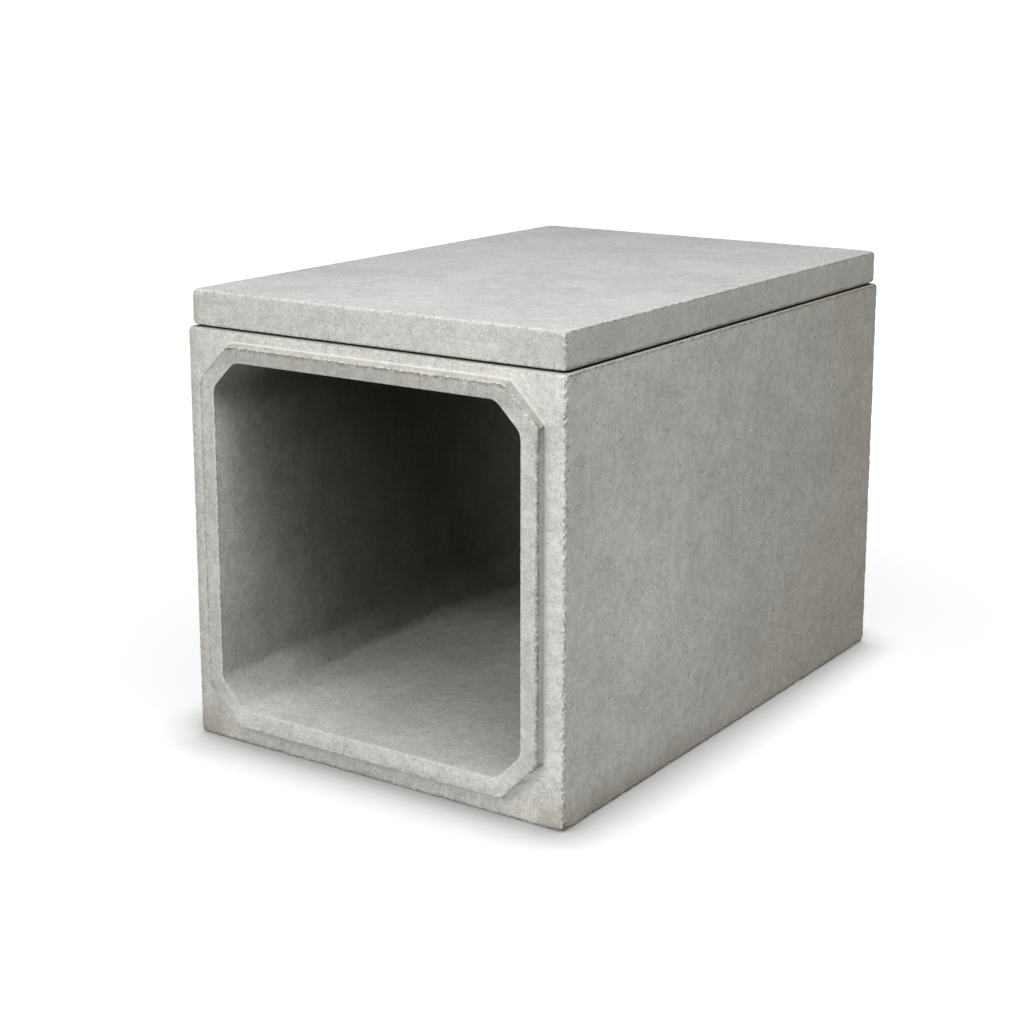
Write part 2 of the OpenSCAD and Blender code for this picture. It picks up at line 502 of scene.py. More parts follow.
# Small air holes left against the steel mould.
smallest_hole = 0.03
hole_spread = 0.06
hole_rim = 1.6
hole_depth = 0.002
air, into, out = new_tree("air holes", "ShaderNodeTree",
                          [("Spacing", "Float", 0.03), ("Share", "Float", 0.4), ("Seed", "Float", 1.0)],
                          [("Hole", "Float"), ("Height", "Float")])
away, lot = scattered(air, into["Spacing"], into["Seed"])
radius = calc(air, "MULTIPLY_ADD", lot[1], hole_spread, smallest_hole)
hole = fade(air, away, radius, times(air, radius, hole_rim), 1.0, 0.0)
hole = times(air, hole, calc(air, "LESS_THAN", lot[0], into["Share"]))
air.links.new(hole, out["Hole"])
air.links.new(times(air, hole, -hole_depth), out["Height"])

# Worn arrises: pale broken grains on the side that faces out or up, toward the lamps, which are partly
# painted highlight, and dark gaps on the other side, which are partly painted shade.
facing_out = (0.35, 0.65)
facing_up = (0.3, 0.6)
edge_width = 0.35
least_wear = (0.0, 0.3)
grain_edge = (0.46, 0.54)
arris_height = 0.008
tree, into, out = new_tree("arris grains with highlight and shade", "ShaderNodeTree",
                           [("Grain size", "Float", 0.012), ("Edge from", "Float", 0.38),
                            ("Seed", "Float", 1.0)],
                           [("Lit grains", "Float"), ("Shaded gaps", "Float"), ("Height", "Float")])
turned = normal_parts(tree)
lit_side = calc(tree, "MAXIMUM", fade(tree, calc(tree, "ABSOLUTE", turned[1]), *facing_out),
                fade(tree, turned[2], *facing_up))
blots = noise(tree, on_piece(tree), into["Grain size"], into["Seed"], 3.0, 0.7)
edge_to = calc(tree, "ADD", into["Edge from"], edge_width)
close = times(tree, fade(tree, stored_value(tree, "arris"), into["Edge from"], edge_to),
              fade(tree, stored_value(tree, "wear"), *least_wear))
grains = times(tree, close, lit_side, fade(tree, blots, *grain_edge))
shaded_gaps = times(tree, close, rest_of(tree, lit_side), fade(tree, blots, *reversed(grain_edge)))
tree.links.new(grains, out["Lit grains"])
tree.links.new(shaded_gaps, out["Shaded gaps"])
lumps = times(tree, close, minus(tree, blots, 0.5), arris_height)
tree.links.new(lumps, out["Height"])
arris_tone = tree

# Long soft streaks, which run the way the place is stretched.
streak_edge = (0.40, 0.66)
streak, into, out = new_tree("soft streaks", "ShaderNodeTree",
                             [("Place", "Vector", (0, 0, 0)), ("Seed", "Float", 1.0)], [("Streaks", "Float")])
streaks = noise(streak, into["Place"], 1.0, into["Seed"], 3.0, 0.6)
streak.links.new(fade(streak, streaks, *streak_edge), out["Streaks"])


def group(tree, inner, sockets):
    """What comes out of a node group placed in a material with its own values."""
    return node(tree, "ShaderNodeGroup", sockets, node_tree=inner).outputs


def streaks_along(tree, turn, sizes, seed):
    """Soft streaks of these sizes, turned about the vertical."""
    turned = node(tree, "ShaderNodeMapping", {"Vector": on_piece(tree), "Rotation": (0, 0, turn)}).outputs[0]
    scale = [1 / size for size in sizes]
    place = node(tree, "ShaderNodeMapping", {"Vector": turned, "Scale": scale}).outputs[0]
    return group(tree, streak, {"Place": place, "Seed": seed})["Streaks"]


def brightened(tree, colour, gain, *masks):
    """A colour made lighter by a share where the masks are 1."""
    return vector_scaled(tree, colour, calc(tree, "MULTIPLY_ADD", times(tree, *masks), gain, 1.0))


# How much a face points along an axis, for it to begin and to be sure to belong to that side.
face_on = (0.6, 0.85)
specks_from = (0.38, 0.60)
patch_size = 0.09
dark_speck = 0.6, (0.50, 0.48, 0.44, 1)
light_speck_share = 0.5
arris_grain_highlight_share = 0.7
arris_gap_shade_tint = (0.40, 0.38, 0.33, 1)
air_hole = 0.9, (0.32, 0.31, 0.29, 1)


def concrete(name, skin, even_share, end_share, grain_colour, gap_shade_share, seed):
    """A concrete material with skin, sand, air holes and worn arrises, whose grains and gaps are partly
    painted highlight and shade: it, its tree, colour and heights.
    """
    finish = bpy.data.materials.new(name)
    finish.use_nodes = True
    tree = finish.node_tree
    at_ends = fade(tree, calc(tree, "ABSOLUTE", normal_parts(tree)[1]), *face_on, even_share, end_share)
    skin = group(tree, skin_tone, skin | {"Seed": seed, "Mottle": times(tree, at_ends, skin["Mottle"])})
    specks = group(tree, sand, {"Spacing": 0.0075, "Share": 0.16, "Seed": seed})
    pores = group(tree, air, {"Spacing": 0.028, "Share": 0.28, "Seed": seed})
    arris = group(tree, arris_tone, {"Grain size": 0.009, "Edge from": 0.45, "Seed": seed})
    patches = fade(tree, noise(tree, on_piece(tree), patch_size, seed + 1, 4.0, 0.65), *specks_from, 0.2, 1.0)
    colour = stained(tree, skin["Colour"], dark_speck, specks["Dark"], patches)
    colour = painted(tree, colour, (light_speck_share, grain_colour), specks["Light"], patches)
    # The arrises' pale grains are partly painted highlight, and their dark gaps partly painted shade.
    colour = painted(tree, colour, (arris_grain_highlight_share, grain_colour), arris["Lit grains"])
    colour = stained(tree, colour, (gap_shade_share, arris_gap_shade_tint), arris["Shaded gaps"])
    colour = stained(tree, colour, air_hole, pores["Hole"], patches)
    height = calc(tree, "ADD", skin["Height"], calc(tree, "ADD", pores["Height"], arris["Height"]))
    return finish, tree, colour, height


def finished(tree, colour, height):
    """Joins a concrete's colour and heights to its shader."""
    shader = tree.nodes["Principled BSDF"]
    shader.inputs["Roughness"].default_value = 0.9
    shader.inputs["Specular IOR Level"].default_value = 0.25
    tree.links.new(colour, shader.inputs["Base Color"])
    bump = node(tree, "ShaderNodeBump", {"Strength": 1.0, "Distance": 1.0, "Height": height})
    tree.links.new(bump.outputs[0], shader.inputs["Normal"])


box_skin = {"Colour": (0.69, 0.68, 0.647, 1), "Cloud colour": (0.585, 0.575, 0.541, 1), "Cloud size": 0.20,
            "Clouds": 0.7, "Mottle": 1.0, "Grain": 1.1}
box_concrete, tree, colour, height = concrete("box concrete", box_skin, even_share=0.65, end_share=0.8,
                                              grain_colour=(0.88, 0.875, 0.85, 1), gap_shade_share=0.8, seed=3.0)
place = on_piece(tree)
x, y, z = split(tree, place)
turned = normal_parts(tree)
off_middle = calc(tree, "ABSOLUTE", x)
blots = noise(tree, place, 0.12, 5.0, 4.0, 0.6)


def wandered(value, reach):
    """A measure on the box whose lines wander with its blots."""
    return calc(tree, "MULTIPLY_ADD", blots, reach, value)


# Thin runs of lime down the upright faces.
upright = fade(tree, calc(tree, "ABSOLUTE", turned[2]), 0.7, 0.4)
run_sizes = (0.010, 0.010, 0.20)
lime_runs = 0.28, (0.84, 0.83, 0.80, 1)
colour = stained(tree, colour, lime_runs, streaks_along(tree, 0, run_sizes, 7.0), upright)

# Soil splashed up from the ground, and a dark line at the foot, which is painted contact shade.
splashed_z = (0.03, 0.11)
foot_z = (0.006, 0.018)
splashed_soil = 0.35, (0.86, 0.83, 0.76, 1)
foot_contact_shade = 0.8, (0.42, 0.39, 0.33, 1)
colour = stained(tree, colour, splashed_soil, fade(tree, wandered(z, 0.08), *splashed_z, 1.0, 0.0))
colour = stained(tree, colour, foot_contact_shade, fade(tree, wandered(z, 0.012), *foot_z, 1.0, 0.0))

# The sides are painted darker low down and to the rear, as painted shade, and lighter towards the front at
# mid height, as painted light.
ends = fade(tree, calc(tree, "ABSOLUTE", turned[1]), *face_on)
sides = fade(tree, off_middle, opening_half_w + 0.02, opening_half_w + 0.05)
low_shade_z, low_shade_y = (0.15, 0.80), (-0.6, 0.4)
rear_y = (-0.3, 1.2)
low_side_shade = 0.5, (0.80, 0.775, 0.71, 1)
dark_rear = 0.7, (0.81, 0.785, 0.72, 1)
lit_patch_y, lit_patch_z, lit_patch_edge = 0.50, 0.55, (0.62, 0.20)
lit_patch_gain = 0.12
low_down = fade(tree, wandered(z, 0.4), *low_shade_z, 1.0, 0.0)
colour = stained(tree, colour, low_side_shade, sides, low_down, fade(tree, y, *low_shade_y))
colour = stained(tree, colour, dark_rear, sides, fade(tree, wandered(y, 0.5), *rear_y))
from_lit_patch = {0: 0.0, 1: calc(tree, "ADD", y, lit_patch_y), 2: minus(tree, z, lit_patch_z)}
from_lit_patch = node(tree, "ShaderNodeCombineXYZ", from_lit_patch).outputs[0]
from_lit_patch = vector_calc(tree, "LENGTH", from_lit_patch)["Value"]
lit_patch = fade(tree, wandered(from_lit_patch, 0.30), *lit_patch_edge)
colour = brightened(tree, colour, lit_patch_gain, sides, lit_patch)

# The end faces are painted lighter on the right, as painted light, and darker on the left, as painted shade,
# and are tinged in patches; the spigot's nose is darker on top.
across = wandered(x, 0.3)
lit_right_x, shaded_x, left_edge_x = (0.1, 0.75), (-0.2, -0.5), (0.045 - body_half_w, 0.015 - body_half_w)
nose_y = (y_nose + 0.009, y_nose + 0.004)
nose_low_z, nose_body_z, nose_roof_z = (0.16, 0.10), (0.09, 0.16), (opening_high - 0.04, opening_high)
tinge_edge = (0.48, 0.66)
right_light_gain, nose_low_gain = 0.30, 0.08
nose_shade = 1.0, (0.885, 0.885, 0.885, 1)
nose_roof_shade = 1.0, (0.76, 0.76, 0.75, 1)
left_shade = 0.5, (0.90, 0.89, 0.90, 1)
end_tinge = 0.30, (0.98, 0.955, 0.94, 1)
box_left_edge_shade = 0.8, (0.83, 0.815, 0.77, 1)
colour = brightened(tree, colour, right_light_gain, ends, fade(tree, across, *lit_right_x, 0.3, 1.0))
on_nose = times(tree, ends, fade(tree, y, *nose_y))
colour = brightened(tree, colour, nose_low_gain, on_nose, fade(tree, z, *nose_low_z))
colour = stained(tree, colour, nose_shade, on_nose, fade(tree, z, *nose_body_z))
colour = stained(tree, colour, nose_roof_shade, on_nose, fade(tree, z, *nose_roof_z))
colour = stained(tree, colour, left_shade, ends, fade(tree, across, *shaded_x))
tinge = fade(tree, noise(tree, place, 0.07, 12.0, 4.0, 0.6), *tinge_edge)
colour = stained(tree, colour, end_tinge, ends, tinge)
# The left edges are painted darker, as painted shade on their rounding.
colour = stained(tree, colour, box_left_edge_shade, fade(tree, wandered(x, 0.02), *left_edge_x))

# Along the arrises of the spigot's nose: a broken pale line round the lower and left mouth, which is painted
# highlight, and darker crumbly lines on the outer arris and just under the top arris.
nose_top = opening_high + nose_roof
half_way = opening_half_w + opening_high - haunch + nose_haunch * 0.75
out_x = minus(tree, off_middle, opening_half_w + nose_side / 2)
out_z = minus(tree, z, opening_high + nose_roof / 2)
past_haunch = minus(tree, calc(tree, "ADD", off_middle, z), half_way)
outer = calc(tree, "MAXIMUM", calc(tree, "MAXIMUM", out_x, out_z), past_haunch)
outer = calc(tree, "GREATER_THAN", outer, 0.0)
nose_arris_y = y_nose + 0.012
crumbly = noise(tree, place, 0.010, 14.0, 3.0, 0.7)
nearness = stored_value(tree, "arris")
by_nose = calc(tree, "LESS_THAN", y, nose_arris_y)
nose_arris_dark = 1.0, (0.48, 0.47, 0.43, 1)
dark_near, dark_crumbs, dark_z, dark_x = (0.62, 0.82), (0.44, 0.54), (0.08, 0.15), (-0.45, -0.53)
mouth_highlight = 0.8, (0.95, 0.945, 0.93, 1)
highlight_near, highlight_crumbs, highlight_z = (0.80, 0.95), (0.46, 0.52), (0.085, 0.10)
left_x, low_z = (0.0, -0.45), (0.20, 0.15)
nose_line = times(tree, outer, by_nose, fade(tree, nearness, *dark_near), fade(tree, crumbly, *dark_crumbs),
                  fade(tree, z, *dark_z), fade(tree, x, *dark_x, 0.6, 1.0))
to_left_or_low = calc(tree, "MAXIMUM", fade(tree, x, *left_x), fade(tree, z, *low_z))
mouth_line = times(tree, rest_of(tree, outer), by_nose, fade(tree, nearness, *highlight_near),
                   fade(tree, crumbly, *highlight_crumbs), fade(tree, z, *highlight_z), to_left_or_low)
# Painted highlight along the mouth's arrises, then darker lines along the nose's outer arris.
colour = painted(tree, colour, mouth_highlight, mouth_line)
colour = stained(tree, colour, nose_arris_dark, nose_line)
under_nose_dark = 0.75, (0.58, 0.55, 0.48, 1)
under_nose_z, under_nose_edge = (nose_top - 0.014, nose_top - 0.005), (0.42, 0.56)
under_nose = times(tree, ends, fade(tree, y, nose_arris_y, y_nose + 0.004), fade(tree, z, *under_nose_z),
                   fade(tree, noise(tree, place, 0.014, 9.0, 4.0, 0.7), *under_nose_edge))
colour = stained(tree, colour, under_nose_dark, under_nose)

# The bore is darkened further in, which is mostly painted shade with some silt: most on the walls, and less
# on the floor.
bore_edge = 0.006
shade_silt_reach = 0.41
shade_silt = 1.0, (0.030, 0.025, 0.018, 1)
shade_silt_hue = 1.0, (1.0, 0.95, 0.83, 1)
shade_silt_wander = 0.25
sloping, level, near_middle = (0.0, 0.5, 0.0, 0.24), (0.72, 1.0, 0.0, 0.76), (0.46, 0.25, 0.82, 1.0)
wall_middle_z, wall_rise = 0.55, 0.9
top_corner_z, high_z, high_y, high_shade_silt = (0.90, 1.05, 0.0, 0.4), (0.70, 0.92), (0.08, 0.30), 0.17
least_shade_silt, shade_silt_fall = 0.03, -0.1
seat_depth = 0.2
in_bore = times(tree, calc(tree, "LESS_THAN", off_middle, opening_half_w + bore_edge),
                calc(tree, "LESS_THAN", past_haunch, 0.0),
                calc(tree, "GREATER_THAN", z, opening_low - bore_edge),
                calc(tree, "LESS_THAN", z, opening_high + bore_edge), rest_of(tree, ends))
from_front = minus(tree, y, y_nose)
on_floor = calc(tree, "ADD", fade(tree, turned[2], *sloping), fade(tree, turned[2], *level))
on_floor = times(tree, on_floor, fade(tree, off_middle, *near_middle))
up_wall = calc(tree, "MULTIPLY_ADD", minus(tree, z, wall_middle_z), wall_rise, 1.0)
on_walls = calc(tree, "MULTIPLY_ADD", from_front, up_wall, fade(tree, z, *top_corner_z))
on_walls = calc(tree, "MULTIPLY_ADD", z, shade_silt_fall, on_walls)
high_up = times(tree, fade(tree, z, *high_z), fade(tree, from_front, *high_y), high_shade_silt)
on_walls = calc(tree, "ADD", on_walls, calc(tree, "ADD", high_up, least_shade_silt))
depth_in = {0: on_floor, 2: on_walls, 3: minus(tree, from_front, 1.0)}
depth_in = node(tree, "ShaderNodeMix", depth_in).outputs[0]
depth_in = calc(tree, "MINIMUM", depth_in, minus(tree, y_seat + seat_depth, y))
depth_in = calc(tree, "MULTIPLY_ADD", minus(tree, blots, 0.5), shade_silt_wander, depth_in)
unshaded_share = calc(tree, "POWER", math.exp(-1 / shade_silt_reach), calc(tree, "MAXIMUM", depth_in, 0.0))
silted_and_shaded = times(tree, in_bore, rest_of(tree, unshaded_share))
colour = stained(tree, colour, shade_silt, silted_and_shaded)
colour = stained(tree, colour, shade_silt_hue, silted_and_shaded)

# The floor is painted lighter to the left and further in, as painted light, and the flow leaves long marks on
# it; the foot of the walls near the mouth is darker.
floor_light_gain = 0.14
mark_turn = math.radians(-34)
mark_sizes = (0.10, 0.009, 0.3)
flow_marks = 0.6, (0.90, 0.90, 0.91, 1)
floor_hue = 1.0, (0.99, 0.995, 1.0, 1)
wall_foot_dark = 0.55, (0.70, 0.69, 0.67, 1)
wall_foot_from_z, wall_foot_to_z, wall_foot_y = (0.12, 0.17), (0.50, 0.35), (0.30, 0.05)
bore_floor = times(tree, in_bore, fade(tree, turned[2], 0.72, 0.95))
lit_left_or_far = calc(tree, "MAXIMUM", fade(tree, x, 0.0, -0.35), fade(tree, from_front, 0.45, 1.0))
colour = brightened(tree, colour, floor_light_gain, bore_floor, lit_left_or_far)
colour = stained(tree, colour, flow_marks, bore_floor, streaks_along(tree, mark_turn, mark_sizes, 15.0))
colour = stained(tree, colour, floor_hue, bore_floor)
colour = stained(tree, colour, wall_foot_dark, in_bore, fade(tree, z, *wall_foot_from_z),
                 fade(tree, z, *wall_foot_to_z), fade(tree, from_front, *wall_foot_y))

# The spigot's sloping rim holds dirt, is painted lighter underneath, as painted light in its shade, and has a
# painted highlight line at its root.
rim_dirt = 1.0, (0.79, 0.785, 0.765, 1)
haunch_shade = 1.0, (0.84, 0.84, 0.84, 1)
roof_shade = 1.0, (0.86, 0.86, 0.86, 1)
root_highlight = 0.6, (0.86, 0.855, 0.83, 1)
underside_light_gain = 0.30
rim_y, root_y = (y_nose + 0.003, y_nose + 0.006), (y_front - 0.006, y_front - 0.002)
haunch_x, haunch_z = (0.44, 0.46), (0.97, 1.00)
rim = times(tree, fade(tree, y, *rim_y), calc(tree, "LESS_THAN", y, y_front - 0.0005), rest_of(tree, in_bore))
underside = fade(tree, turned[2], -0.1, -0.5)
colour = stained(tree, colour, rim_dirt, rim, minus(tree, 0.9, underside))
on_haunch = times(tree, fade(tree, x, *haunch_x), fade(tree, z, *haunch_z))
colour = stained(tree, colour, haunch_shade, rim, on_haunch)
colour = stained(tree, colour, roof_shade, rim, fade(tree, turned[2], 0.6, 0.85))
colour = brightened(tree, colour, underside_light_gain, rim, underside)
colour = painted(tree, colour, root_highlight, rim, fade(tree, y, *root_y))

# A band below the ring's lower right haunch is painted lighter, as painted light where the ring's shadow
# falls, and soil clings to the foot of the sides.
band_start, band_w = 0.391, 0.055
band_x, band_z = (0.20, 0.42), (0.28, 0.18)
soil_z, soil_y = (0.02, 0.16), (0.3, -0.7)
band_light_gain = 0.16
side_soil = 0.9, (0.66, 0.63, 0.56, 1)
below_ring = minus(tree, minus(tree, x, z), band_start)
on_body = fade(tree, minus(tree, y, y_front), -0.02, 0.0)
colour = brightened(tree, colour, band_light_gain, ends, fade(tree, below_ring, band_w, 0.0),
                    fade(tree, below_ring, -0.03, 0.0), on_body,
                    fade(tree, x, *band_x), fade(tree, z, *band_z))
colour = stained(tree, colour, side_soil, sides, fade(tree, wandered(z, 0.08), *soil_z, 1.0, 0.0),
                 fade(tree, y, *soil_y))

# The seat under the slab holds dirt, and mastic primer blackens it.
slab_low, slab_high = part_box("cover_slab")
seat_dirt = 0.8, (0.62, 0.60, 0.55, 1)
seat_primer = 0.95, (0.10, 0.095, 0.09, 1)
seat = fade(tree, z, body_h - 0.0035, body_h - 0.0005)
colour = stained(tree, colour, seat_dirt, seat)
colour = stained(tree, colour, seat_primer, seat,
                 fade(tree, off_middle, slab_high.x + 0.001, slab_high.x - 0.003),
                 fade(tree, y, slab_low.y + 0.011, slab_low.y + 0.017))
finished(tree, colour, height)

grown(box_section, wear, Seed=4.0, Finish=box_concrete)
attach(box_section, "root")
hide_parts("box_section")

# ----------------------------------------
# Sealing strips
# Four strips of black butyl mastic lie on the walls of the box section. They are cut from a roll, butted
# at the corners and squeezed by the slab's weight to a few millimetres, so their edges wander.

strip_step = 0.012
strip_squeeze = 0.003
squeeze_size = 0.05
edge_round = 0.45
edge_steps = 4
bead, into, out = new_tree("squeezed bead", "GeometryNodeTree",
                           [("Start", "Vector", (0, 0, 0)), ("End", "Vector", (0, 1, 0)),
                            ("Width", "Float", 0.04), ("Thickness", "Float", 0.006), ("Step", "Float", 0.012),
                            ("Squeeze", "Float", 0.003), ("Seed", "Float", 1.0),
                            ("Finish", "Material", None)],
                           [("Geometry", "Geometry")])
line = node(bead, "GeometryNodeCurvePrimitiveLine", {"Start": into["Start"], "End": into["End"]})
line = {"Curve": line.outputs[0], "Length": into["Step"]}
line = node(bead, "GeometryNodeResampleCurve", line, mode="LENGTH")
line = node(bead, "GeometryNodeSetCurveNormal", {"Curve": line.outputs[0]}, mode="Z_UP")
profile = {"Width": into["Width"], "Height": into["Thickness"]}
profile = node(bead, "GeometryNodeCurvePrimitiveQuadrilateral", profile)
corner = times(bead, into["Thickness"], edge_round)
profile = {"Curve": profile.outputs[0], "Radius": corner, "Count": edge_steps}
profile = node(bead, "GeometryNodeFilletCurve", profile, mode="POLY")
strip = {"Curve": line.outputs[0], "Profile Curve": profile.outputs[0], "Fill Caps": True}
strip = node(bead, "GeometryNodeCurveToMesh", strip)
place = node(bead, "GeometryNodeInputPosition").outputs[0]
squeeze = times(bead, noise(bead, place, squeeze_size, into["Seed"]), into["Squeeze"])
level = vector_calc(bead, "MULTIPLY", node(bead, "GeometryNodeInputNormal").outputs[0], (1, 1, 0))[0]
strip = pushed_in(bead, strip.outputs[0], level, squeeze)
strip = node(bead, "GeometryNodeSetShadeSmooth", {"Geometry": strip, "Shade Smooth": True})
end_tree(bead, strip.outputs[0], into, out)

clean_black = (0.012, 0.012, 0.012, 1)
dusty_black = (0.035, 0.034, 0.032, 1)
clean_roughness, dusty_roughness = 0.45, 0.8
mastic = bpy.data.materials.new("black mastic")
mastic.use_nodes = True
tree = mastic.node_tree
place = on_piece(tree)
dust = fade(tree, noise(tree, place, 0.02, 2.0, 4.0), 0.45, 0.75)
tone = painted(tree, clean_black, (1.0, dusty_black), dust)
shader = tree.nodes["Principled BSDF"]
tree.links.new(tone, shader.inputs["Base Color"])
tree.links.new(fade(tree, dust, 0.0, 1.0, clean_roughness, dusty_roughness), shader.inputs["Roughness"])
film = noise(tree, place, 0.008, 4.0)
bump = node(tree, "ShaderNodeBump", {"Strength": 1.0, "Distance": 0.001, "Height": film})
tree.links.new(bump.outputs[0], shader.inputs["Normal"])

for seed, side in enumerate(("left", "right", "front", "rear")):
    node_name = "seal_strip_" + side
    low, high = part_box(node_name)
    width, length = sorted((high.x - low.x, high.y - low.y))
    middle = (low + high) / 2
    half = Vector((0, length / 2, 0)) if high.y - low.y > high.x - low.x else Vector((length / 2, 0, 0))
    strip = new_object("mastic_" + side, bpy.data.meshes.new("mastic_" + side))
    grown(strip, bead, Start=middle - half, End=middle + half, Width=width, Thickness=high.z - low.z,
          Step=strip_step, Squeeze=strip_squeeze, Seed=float(seed), Finish=mastic)
    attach(strip, "root")
    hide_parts(node_name)

# ----------------------------------------
# Cover slab
# A flat slab is cast face up beside the box, floated and trowelled by hand on top, then bedded on the
# sealing strips. Its arrises are worn like the box's.

slab_low, slab_high = (np.array(corner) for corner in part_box("cover_slab"))
slab_middle = (slab_low + slab_high) / 2
slab_half = (slab_high - slab_low) / 2
slab_upright_ease = 0.009
slab_top_ease = 0.006
slab_foot_ease = 0.002
slab_eases = (slab_upright_ease, slab_top_ease, slab_foot_ease)
slab_corner_wear = 0.013
crisp_corner_share = 0.3
slab_near_grain = 0.004
slab_far_grain = 0.009
level_wear, upright_wear, upright_reach = 0.55, 0.40, 0.015
slab_joint_crisp = 0.6


def slab_distance(points, eases=slab_eases):
    """How far points lie outside the slab, with its arrises rounded off."""
    x, y, z = (points - slab_middle).T
    upright, top, foot = eases
    corner_wear = np.where((x > 0) & (y < 0), crisp_corner_share, 1.0) * slab_corner_wear
    level = np.where(z > 0, top, foot)
    return worn_block(*(np.abs(points - slab_middle) - slab_half).T, upright, level, corner_wear)


def slab_wear(points):
    """How crumbly an arris is: most on the upright ones, least along the joint."""
    across, along, _ = (np.abs(points - slab_middle) - slab_half).T
    on_upright = np.exp(-(np.minimum(across, along) / upright_reach) ** 2)
    on_joint = np.exp(-((points[:, 2] - slab_low[2]) / joint_reach) ** 2)
    return (level_wear + upright_wear * on_upright) * (1 - slab_joint_crisp * on_joint)


slab_cells = np.ceil((slab_high - slab_low) / mould_cell).astype(int)
faces = []
arrises = []
for axis in range(3):
    u, v = (axis + 1) % 3, (axis + 2) % 3
    first = np.stack(np.meshgrid(np.arange(slab_cells[u]), np.arange(slab_cells[v])), axis=-1).reshape(-1, 2)
    for side in (0, slab_cells[axis]):
        face = np.full((len(first), 4, 3), side)
        round_face = ((0, 0), (1, 0), (1, 1), (0, 1)) if side else ((0, 0), (0, 1), (1, 1), (1, 0))
        for corner, step in enumerate(round_face):
            face[:, corner, [u, v]] = first + step
        faces.append(face)
    for at_u in (slab_low[u], slab_high[u]):
        for at_v in (slab_low[v], slab_high[v]):
            start, end = slab_low.copy(), slab_high.copy()
            start[[u, v]] = end[[u, v]] = at_u, at_v
            at_foot = (start[2] + end[2]) / 2 < slab_middle[2] and axis < 2
            arrises.append((start, end, slab_far_grain if at_foot else slab_near_grain))
lattice, skin = np.unique(np.concatenate(faces).reshape(-1, 3), axis=0, return_inverse=True)
skin = skin.reshape(-1, 4)
skin = np.concatenate([skin[:, [0, 1, 2]], skin[:, [0, 2, 3]]])
lattice = slab_low + lattice / slab_cells * (slab_high - slab_low)
cover_slab = casting("cast_cover_slab", lattice, skin, arrises, slab_distance, slab_eases, slab_wear)

slab_skin = {"Colour": (0.68, 0.672, 0.632, 1), "Cloud colour": (0.59, 0.582, 0.545, 1), "Cloud size": 0.24,
             "Clouds": 0.7, "Mottle": 0.95, "Grain": 0.9}
slab_concrete, tree, colour, height = concrete("slab concrete", slab_skin, even_share=0.55, end_share=0.8,
                                               grain_colour=(0.92, 0.915, 0.89, 1), gap_shade_share=0.6, seed=11.0)
place = on_piece(tree)
x, y, z = split(tree, place)
turned = normal_parts(tree)

# The float leaves the top bluer than the moulded sides. The underside is black with mastic primer.
floated_hue = 1.0, (0.925, 0.925, 0.972, 1)
side_shade = 1.0, (0.90, 0.89, 0.87, 1)
primer = 0.9, (0.12, 0.115, 0.11, 1)
on_top = fade(tree, turned[2], 0.7, 0.95)
colour = stained(tree, colour, floated_hue, on_top)
colour = stained(tree, colour, side_shade, fade(tree, calc(tree, "ABSOLUTE", turned[0]), *face_on))
colour = stained(tree, colour, primer, fade(tree, turned[2], -0.6, -0.95))

# The front is painted paler on one side, as painted light, shows the layers of the pour, and is painted
# darker at its left edge, as painted shade.
pale_gain = 0.12
layer_sizes = (0.25, 0.3, 0.009)
pour_layers = 0.45, (0.88, 0.875, 0.855, 1)
slab_left_edge_shade = 0.8, (0.80, 0.775, 0.70, 1)
in_front = fade(tree, turned[1], -0.6, -0.85)
colour = brightened(tree, colour, pale_gain, in_front, fade(tree, x, -0.3, 0.5))
colour = stained(tree, colour, pour_layers, streaks_along(tree, 0, layer_sizes, 3.0), in_front)
colour = stained(tree, colour, slab_left_edge_shade, fade(tree, x, slab_low[0] + 0.035, slab_low[0] + 0.010), in_front)

# Marks of the trowel, long and thin, and wetter patches of paste, across the top.
trowel_turn = math.radians(-34)
stroke_sizes = (0.24, 0.018, 0.3)
trowel_strokes = 0.70, (0.90, 0.90, 0.905, 1)
wet_patches = 0.6, (0.88, 0.875, 0.875, 1)
colour = stained(tree, colour, trowel_strokes, streaks_along(tree, trowel_turn, stroke_sizes, 2.0), on_top)
wet = fade(tree, noise(tree, place, 0.5, 6.0, 4.0, 0.55), 0.45, 0.65)
colour = stained(tree, colour, wet_patches, wet, on_top)
finished(tree, colour, height)

grown(cover_slab, wear, Seed=9.0, Finish=slab_concrete,
      **{"Wander depth": 0.0015, "Crumb depth": 0.0032, "Chip depth": 0.0025})
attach(cover_slab, "root")
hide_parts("cover_slab")

# ----------------------------------------
# Studio
# A plain pale floor and a white sky, which light the object only weakly. One large soft lamp stands high
# on the right and another in front on the left.

floor_gap = 0.0005
bpy.ops.mesh.primitive_plane_add(size=60, location=(0, 0, -floor_gap))
floor = bpy.context.object
floor.name = "studio_floor"


def white_where_seen(tree):
    """1 for what the camera sees, straight or through gloss and glass, and 0 for what lights the object."""
    rays = node(tree, "ShaderNodeLightPath").outputs
    seen = calc(tree, "MAXIMUM", rays["Is Camera Ray"], rays["Is Glossy Ray"])
    return calc(tree, "MAXIMUM", seen, rays["Is Transmission Ray"])


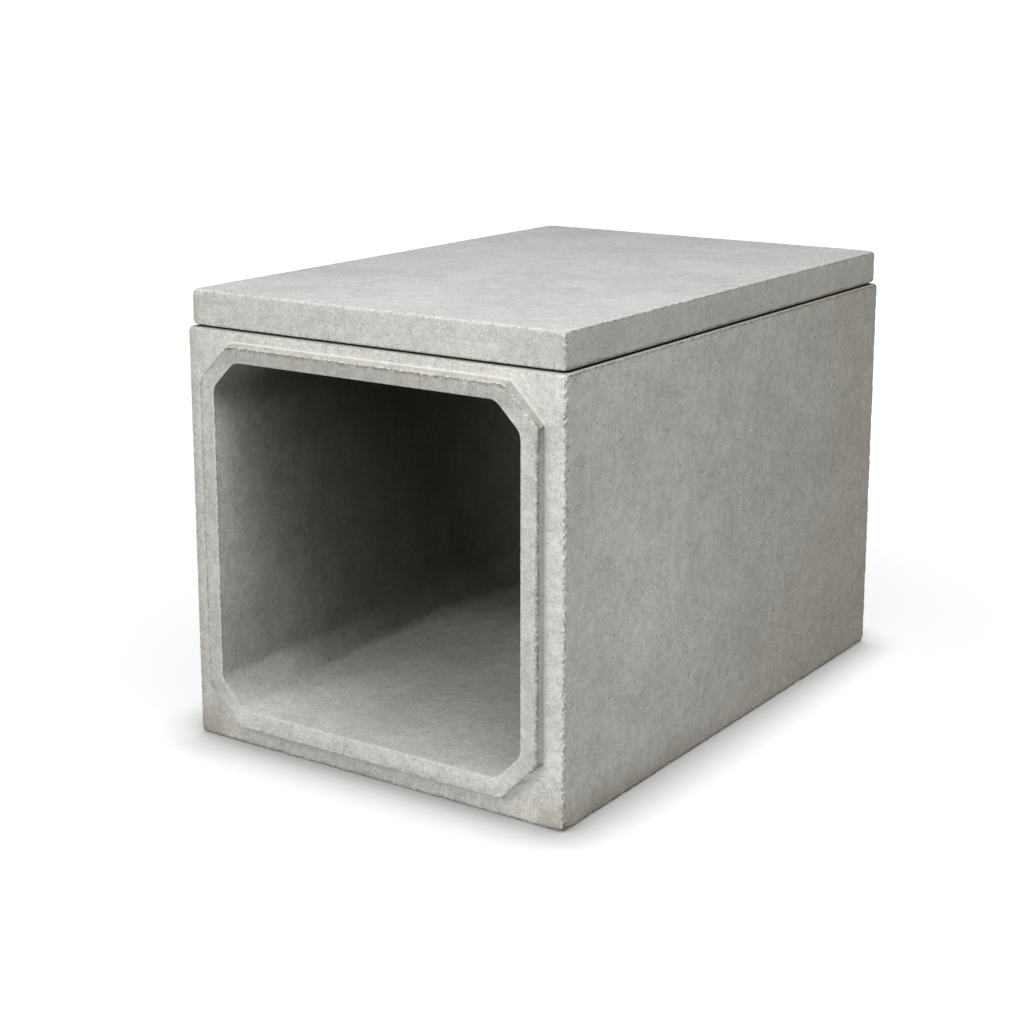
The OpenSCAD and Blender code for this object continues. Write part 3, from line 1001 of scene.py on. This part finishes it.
# The floor glows white, except close to the object, where its glow is dimmed as painted shadow by how little
# open sky shows, and most at its near corner.
unseen_grey = (0.5, 0.5, 0.5, 1)
seen_grey = (0.30, 0.30, 0.30, 1)
white = (1, 1, 1, 1)
near_y, near_reach, far_reach = (-0.5, 1.0), 0.19, 0.145
corner_reach_out, corner_dim = 0.14, 0.72
open_range = {"From Min": 0.5, "From Max": 1.0, "To Min": 0.26, "To Max": 0.80}
far_range, far_gain = (1.2, 4.0), 0.25
floor_paint = bpy.data.materials.new("studio floor")
floor_paint.use_nodes = True
tree = floor_paint.node_tree
tree.nodes.clear()
spot = on_piece(tree)
far_off = vector_calc(tree, "LENGTH", spot)["Value"]
reach = fade(tree, split(tree, spot)[1], *near_y, near_reach, far_reach)
open_sky = node(tree, "ShaderNodeAmbientOcclusion", {"Distance": reach}).outputs["AO"]
from_corner = vector_calc(tree, "DISTANCE", spot, (body_half_w, y_front, 0))["Value"]
glow = node(tree, "ShaderNodeMapRange", {"Value": open_sky} | open_range).outputs[0]
glow = calc(tree, "ADD", glow, fade(tree, far_off, *far_range, 0.0, far_gain))
glow = times(tree, glow, fade(tree, from_corner, corner_reach_out, 0.0, 1.0, corner_dim))
unseen_paint = node(tree, "ShaderNodeBsdfDiffuse", {"Color": unseen_grey}).outputs[0]
seen_paint = node(tree, "ShaderNodeBsdfDiffuse", {"Color": seen_grey}).outputs[0]
seen_glow = node(tree, "ShaderNodeEmission", {"Color": white, "Strength": glow}).outputs[0]
seen_paint = node(tree, "ShaderNodeAddShader", {0: seen_paint, 1: seen_glow}).outputs[0]
paint = node(tree, "ShaderNodeMixShader", {0: white_where_seen(tree), 1: unseen_paint, 2: seen_paint})
node(tree, "ShaderNodeOutputMaterial", {"Surface": paint.outputs[0]})
floor.data.materials.append(floor_paint)

# The room's walls give a little light, each from its own side.
around = 0.10
wall_lights = (((1, 0, 0.3), 0.34), ((0, 1, 0.3), 0.18), ((-1, 0, 0.3), 0.10))
world = bpy.data.worlds.new("studio")
bpy.context.scene.world = world
world.use_nodes = True
tree = world.node_tree
tree.nodes.clear()
way = node(tree, "ShaderNodeTexCoord").outputs["Generated"]
for wall_way, wall_light in wall_lights:
    facing = vector_calc(tree, "DOT_PRODUCT", way, Vector(wall_way).normalized())["Value"]
    facing = calc(tree, "POWER", calc(tree, "MAXIMUM", facing, 0.0), 2.0)
    around = calc(tree, "MULTIPLY_ADD", facing, wall_light, around)
around = node(tree, "ShaderNodeBackground", {"Color": white, "Strength": around}).outputs[0]
backdrop = node(tree, "ShaderNodeBackground", {"Color": white, "Strength": 1.0}).outputs[0]
sky = node(tree, "ShaderNodeMixShader", {0: white_where_seen(tree), 1: around, 2: backdrop})
node(tree, "ShaderNodeOutputWorld", {"Surface": sky.outputs[0]})

aim = Vector((0, 0, 0.6))
lamp_size = 3.2
lamps = ("high_lamp", (1.494, -1.494, 5.132), 162), ("front_lamp", (-1.173, -4.377, 2.713), 93)
for name, place, power in lamps:
    lamp = bpy.data.lights.new(name, "AREA")
    lamp.energy = power
    lamp.size = lamp_size
    stand = new_object(name, lamp)
    stand.location = place
    stand.rotation_euler = (aim - stand.location).to_track_quat("-Z", "Y").to_euler()

camera = new_object("camera", bpy.data.cameras.new("camera"))
camera.data.lens = 68.57
camera.data.shift_y = -0.10
camera.location = (3.0749, -4.7209, 2.0667)
camera.rotation_euler = Euler((math.radians(90 - 12.1375), 0, math.radians(34.3139)))
bpy.context.scene.camera = camera
bpy.context.scene.view_settings.view_transform = "Standard"
